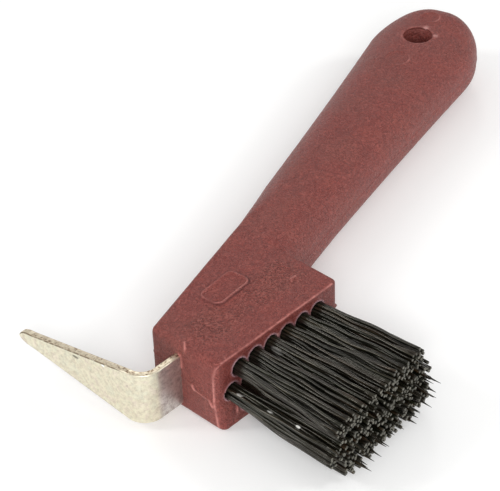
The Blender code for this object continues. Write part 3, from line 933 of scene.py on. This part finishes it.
def add_node(tree, kind, **values):
    node = tree.nodes.new(kind)
    for key, value in values.items():
        if key in node.inputs:
            node.inputs[key].default_value = value
        else:
            setattr(node, key, value)
    return node


def object_place(tree):
    return tree.nodes.new("ShaderNodeTexCoord").outputs["Object"]


def noise_node(tree, coordinates, scale, detail=4.0, rough=0.5):
    node = add_node(tree, "ShaderNodeTexNoise", Scale=scale, Detail=detail, Roughness=rough)
    tree.links.new(coordinates, node.inputs["Vector"])
    return node.outputs["Fac"]


def ramp(tree, fac, stops):
    node = tree.nodes.new("ShaderNodeValToRGB")
    elements = node.color_ramp.elements
    while len(elements) < len(stops):
        elements.new(0.5)
    for element, (position, colour) in zip(elements, stops):
        element.position = position
        element.color = (*colour, 1.0)
    tree.links.new(fac, node.inputs["Fac"])
    return node.outputs["Color"]


def map_range(tree, value, low, high, out_low, out_high):
    node = add_node(tree, "ShaderNodeMapRange")
    for key, number in zip(("From Min", "From Max", "To Min", "To Max"), (low, high, out_low, out_high)):
        node.inputs[key].default_value = number
    tree.links.new(value, node.inputs["Value"])
    return node.outputs["Result"]


def bump(tree, height, strength, distance, below=None):
    node = add_node(tree, "ShaderNodeBump", Strength=strength, Distance=distance)
    tree.links.new(height, node.inputs["Height"])
    if below:
        tree.links.new(below, node.inputs["Normal"])
    return node.outputs["Normal"]


def attribute_value(tree, name):
    return add_node(tree, "ShaderNodeAttribute", attribute_name=name).outputs["Fac"]


def mix_colour(tree, share, first, second):
    """Blends two colours, or the colours of two sockets."""
    node = add_node(tree, "ShaderNodeMix", data_type="RGBA")
    for socket, value in ((node.inputs[0], share), (node.inputs[6], first), (node.inputs[7], second)):
        if isinstance(value, bpy.types.NodeSocket):
            tree.links.new(value, socket)
        elif isinstance(value, tuple):
            socket.default_value = (*value, 1.0)
        else:
            socket.default_value = value
    return node.outputs[2]


def spot(tree, where, middle, half_size):
    """1 inside a small ellipsoid given in millimetres from the head's corner, 0 outside it."""
    scale = Vector([1.0 / (half * MM) for half in half_size])
    shift = -place(middle) * scale
    local = add_node(tree, "ShaderNodeMapping", Scale=scale, Location=shift)
    tree.links.new(where, local.inputs["Vector"])
    reach = add_node(tree, "ShaderNodeVectorMath", operation="LENGTH")
    tree.links.new(local.outputs["Vector"], reach.inputs[0])
    return map_range(tree, reach.outputs["Value"], 0.7, 1.0, 1.0, 0.0)


def multiply(tree, first, second):
    node = add_node(tree, "ShaderNodeMath", operation="MULTIPLY")
    for socket, value in zip(node.inputs, (first, second)):
        if isinstance(value, bpy.types.NodeSocket):
            tree.links.new(value, socket)
        else:
            socket.default_value = value
    return node.outputs["Value"]


def plastic_material():
    """Dark red moulded plastic with a fine leathery grain; painted shade and highlight on its grain and
    stipple, painted shade in creases and on shaded faces, and pale edges that are partly scuffs and partly
    painted highlights.
    """
    material, tree, shader = node_tree("moulded_plastic")
    where = object_place(tree)
    patches = noise_node(tree, where, PATCH_SCALE, 6.0, 0.75)
    brown = noise_node(tree, where, BROWN_SCALE, 3.0)
    grain_node = add_node(tree, "ShaderNodeTexNoise", Scale=GRAIN_SCALE, Detail=2.0, Roughness=0.55,
                          Distortion=1.6)
    tree.links.new(where, grain_node.inputs["Vector"])
    grain = grain_node.outputs["Fac"]
    dots = noise_node(tree, where, DOT_SCALE, 1.0)
    stippled = attribute_value(tree, "stippled")
    patchy = map_range(tree, noise_node(tree, where, SCUFF_SCALE, 4.0), 0.40, 0.56, 0.45, 1.0)
    layers = ((map_range(tree, brown, 0.42, 0.60, 0.0, 0.6), BROWNER),
              # The grain's hollows get painted shade and its crests painted highlight.
              (map_range(tree, grain, 0.36, 0.50, 0.80, 0.0), GRAIN_VALLEY_SHADE),
              (map_range(tree, grain, 0.50, 0.66, 0.0, 0.8), GRAIN_CREST_LIGHT),
              # The stipple's pits get painted shade and its beads painted highlight.
              (multiply(tree, map_range(tree, dots, 0.38, 0.50, 0.4, 0.0), stippled), STIPPLE_PIT_SHADE),
              (multiply(tree, map_range(tree, dots, 0.52, 0.64, 0.0, 0.6), stippled), STIPPLE_BEAD_LIGHT),
              # Painted shade on shaded faces of the head.
              (multiply(tree, attribute_value(tree, "shaded"), 0.35), PAINTED_SHADE_RED),
              # Painted shade in creases and beside ridges.
              (multiply(tree, attribute_value(tree, "painted_crease_shade"), 0.8), CREASE_SHADE),
              # Pale edges: partly scuffs and flash, partly painted highlights.
              (multiply(tree, attribute_value(tree, "pale_edge"), patchy), SCUFF_AND_HIGHLIGHT),
              # Painted highlight on the lips of the tuft holes.
              (multiply(tree, attribute_value(tree, "pale_rim"), patchy), RIM_HIGHLIGHT),
              # Painted glints.
              (attribute_value(tree, "pale_glint"), GLINT_HIGHLIGHT))
    colour = ramp(tree, patches, PLASTIC_SHADES)
    for share, tint in layers:
        colour = mix_colour(tree, share, colour, tint)
    tree.links.new(colour, shader.inputs["Base Color"])
    coarse = bump(tree, grain, 1.0, 0.00060)
    fine = bump(tree, multiply(tree, dots, stippled), 1.0, 0.00055, coarse)
    tree.links.new(fine, shader.inputs["Normal"])
    tree.links.new(map_range(tree, patches, 0.3, 0.7, 0.40, 0.50), shader.inputs["Roughness"])
    shader.inputs["Specular IOR Level"].default_value = 0.42
    return material


def steel_material():
    """Dull plated strip with a warm mottle; its sheared edges are browner and speckled, it has greyer
    lilac blotches near the root, a dark nick and a painted white glint.
    """
    material, tree, shader = node_tree("plated_steel")
    where = object_place(tree)
    mottle = noise_node(tree, where, MOTTLE_SCALE, 5.0, 0.68)
    casts = ramp(tree, noise_node(tree, where, CAST_SCALE, 3.0, 0.6), STEEL_CASTS)
    specks = noise_node(tree, where, SPECK_SCALE, 3.0, 0.7)
    sheared = attribute_value(tree, "sheared_edge")
    rise = map_range(tree, sheared, 0.05, 0.30, 0.0, 1.0)
    fall = map_range(tree, sheared, 0.75, 0.95, 1.0, 0.0)
    burr = multiply(tree, multiply(tree, rise, fall), map_range(tree, specks, 0.36, 0.52, 0.25, 1.0))
    # Greyer lilac blotches on the strip's flat sides near the root.
    root_tint = multiply(tree, attribute_value(tree, "at_root"), map_range(tree, sheared, 0.2, 0.6, 0.6, 0.0))
    layers = ((0.35, casts),
              (map_range(tree, sheared, 0.55, 0.95, 0.0, 1.0), ramp(tree, specks, SHEARED_STEEL)),
              (multiply(tree, burr, attribute_value(tree, "on_arm")), BURR_SHADE),
              (root_tint, ramp(tree, mottle, STEEL_BLOTCHES)),
              (multiply(tree, spot(tree, where, *NICK), 0.8), NICK_SHADE),
              # Painted white highlight glint.
              (spot(tree, where, *GLINT), WHITE))
    colour = ramp(tree, mottle, STEEL_FACE)
    for share, tint in layers:
        colour = mix_colour(tree, share, colour, tint)
    tree.links.new(colour, shader.inputs["Base Color"])
    shader.inputs["Metallic"].default_value = 1.0
    tree.links.new(map_range(tree, mottle, 0.3, 0.7, 0.48, 0.36), shader.inputs["Roughness"])
    tree.links.new(bump(tree, mottle, 0.25, 0.00005), shader.inputs["Normal"])
    return material


def bristle_material():
    """Near-black filament with lengthwise streaks, brown and olive casts and a few painted highlight
    glints.
    """
    material, tree, shader = node_tree("bristle_filament")
    where = object_place(tree)
    strand = add_node(tree, "ShaderNodeAttribute", attribute_name="strand").outputs["Vector"]
    lines = noise_node(tree, strand, STREAK_SCALE, 2.0)
    tinted = add_node(tree, "ShaderNodeMix", data_type="RGBA", blend_type="MULTIPLY")
    tinted.inputs[0].default_value = 0.8
    casts = noise_node(tree, strand, STRAND_CAST_SCALE, 2.0)
    tree.links.new(ramp(tree, lines, STREAKS), tinted.inputs[6])
    tree.links.new(ramp(tree, casts, STRAND_CASTS), tinted.inputs[7])
    colour = tinted.outputs[2]
    # Painted highlight glints along the filaments.
    for middle, half_length, share in BRISTLE_GLINTS:
        glint_spot = spot(tree, where, middle, (BRISTLE_GLINT_HALF[0], half_length, BRISTLE_GLINT_HALF[1]))
        colour = mix_colour(tree, multiply(tree, glint_spot, share), colour, BRISTLE_GLINT_COLOUR)
    tree.links.new(colour, shader.inputs["Base Color"])
    shader.inputs["Specular IOR Level"].default_value = 0.50
    shader.inputs["Specular Tint"].default_value = FILAMENT_SHEEN
    tree.links.new(bump(tree, lines, 0.12, 0.00004), shader.inputs["Normal"])
    tree.links.new(map_range(tree, lines, 0.4, 0.6, 0.30, 0.22), shader.inputs["Roughness"])
    return material


def mottled_material(name, scale, detail, shades, roughness, metallic=0.0):
    """A plain mottled finish, for the filaments' duller cut ends and for the staples' wire."""
    material, tree, shader = node_tree(name)
    shade = noise_node(tree, object_place(tree), scale, detail)
    tree.links.new(ramp(tree, shade, shades), shader.inputs["Base Color"])
    shader.inputs["Metallic"].default_value = metallic
    tree.links.new(map_range(tree, shade, 0.3, 0.7, *roughness), shader.inputs["Roughness"])
    return material


# ---------------------------------------------------------------- stage

CAMERA_ANGLES = (-45.61, 37.86, -2.14)     # azimuth, elevation and roll, in degrees
CAMERA_TARGET = (56.34, 42.98, 0.2)
CAMERA_DISTANCE = 0.5073
CAMERA_LENS = 139.65
SENSOR_WIDTH = 36.0
FLOOR_HALF = 3.0
FLOOR_COLOUR = (0.91, 0.91, 0.905, 1.0)
FLOOR_GLOW = 0.12
SKY_STRENGTH = 0.55
LIGHTS = (("key", (-0.83, -0.93, 0.84), 0.70, 11.5), ("strand_light", (-0.90, 0.83, 0.87), 0.40, 4.1),
          ("left_fill", (-1.38, -0.30, 0.50), 0.50, 1.0), ("back_glint", (0.84, 0.83, 0.92), 0.30, 1.4),
          ("edge_glint", (0.84, -0.92, 0.83), 0.30, 3.8))     # name, position, size, power


def build_camera():
    camera = bpy.data.objects.new("camera", bpy.data.cameras.new("camera"))
    bpy.context.scene.collection.objects.link(camera)
    azimuth, elevation, roll = (math.radians(angle) for angle in CAMERA_ANGLES)
    back = Vector((math.sin(azimuth) * math.cos(elevation), -math.cos(azimuth) * math.cos(elevation),
                   math.sin(elevation)))
    level = Vector((math.cos(azimuth), math.sin(azimuth), 0))
    steep = back.cross(level)
    right = level * math.cos(roll) + steep * math.sin(roll)
    up = steep * math.cos(roll) - level * math.sin(roll)
    turn = Matrix((right, up, back)).transposed().to_4x4()
    camera.matrix_world = Matrix.Translation(place(CAMERA_TARGET) + back * CAMERA_DISTANCE) @ turn
    camera.data.sensor_width = SENSOR_WIDTH
    camera.data.lens = CAMERA_LENS
    camera.data.clip_start = 0.01
    bpy.context.scene.camera = camera


def add_light(name, position, size, power):
    """A round soft light that faces the object."""
    data = bpy.data.lights.new(name, "AREA")
    data.shape = "DISK"
    data.size = size
    data.energy = power
    light = bpy.data.objects.new(name, data)
    light.location = position
    light.rotation_mode = "QUATERNION"
    light.rotation_quaternion = (-Vector(position)).to_track_quat("-Z", "Y")
    bpy.context.scene.collection.objects.link(light)


def build_stage():
    shape = bmesh.new()
    bmesh.ops.create_grid(shape, x_segments=1, y_segments=1, size=FLOOR_HALF)
    mesh = bpy.data.meshes.new("floor")
    shape.to_mesh(mesh)
    shape.free()
    floor = bpy.data.objects.new("floor", mesh)
    floor.location.z = CAD_BOX[0].z
    bpy.context.scene.collection.objects.link(floor)
    material, _, shader = node_tree("pale_floor")
    shader.inputs["Base Color"].default_value = FLOOR_COLOUR
    shader.inputs["Roughness"].default_value = 0.8
    shader.inputs["Emission Color"].default_value = (*WHITE, 1.0)
    shader.inputs["Emission Strength"].default_value = FLOOR_GLOW
    mesh.materials.append(material)
    world = bpy.data.worlds.new("studio")
    world.use_nodes = True
    sky = world.node_tree.nodes["Background"]
    sky.inputs["Color"].default_value = (*WHITE, 1.0)
    sky.inputs["Strength"].default_value = SKY_STRENGTH
    bpy.context.scene.world = world
    bpy.context.scene.view_settings.view_transform = "Standard"
    for light in LIGHTS:
        add_light(*light)


# ---------------------------------------------------------------- assembly


def finish_piece(piece, node):
    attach(piece, "root")
    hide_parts(node)


finish_piece(build_handle(plastic_material()), "handle_body")
finish_piece(build_blade(steel_material()), "pick_blade")
bristle = (bristle_material(), mottled_material("bristle_cut", CUT_SCALE, 3.0, CUT_ENDS, (0.55, 0.75)))
wire = mottled_material("staple_wire", WIRE_SCALE, 4.0, WIRE, (0.30, 0.45), metallic=0.95)
for place_name, hole_x, hole_z in tuft_places():
    finish_piece(build_tuft(place_name, hole_x, hole_z, bristle), f"bristle_tuft_{place_name}")
    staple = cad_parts[f"anchor_staple_{place_name}"]
    for material_slot in staple.material_slots:
        material_slot.material = wire
build_camera()
build_stage()
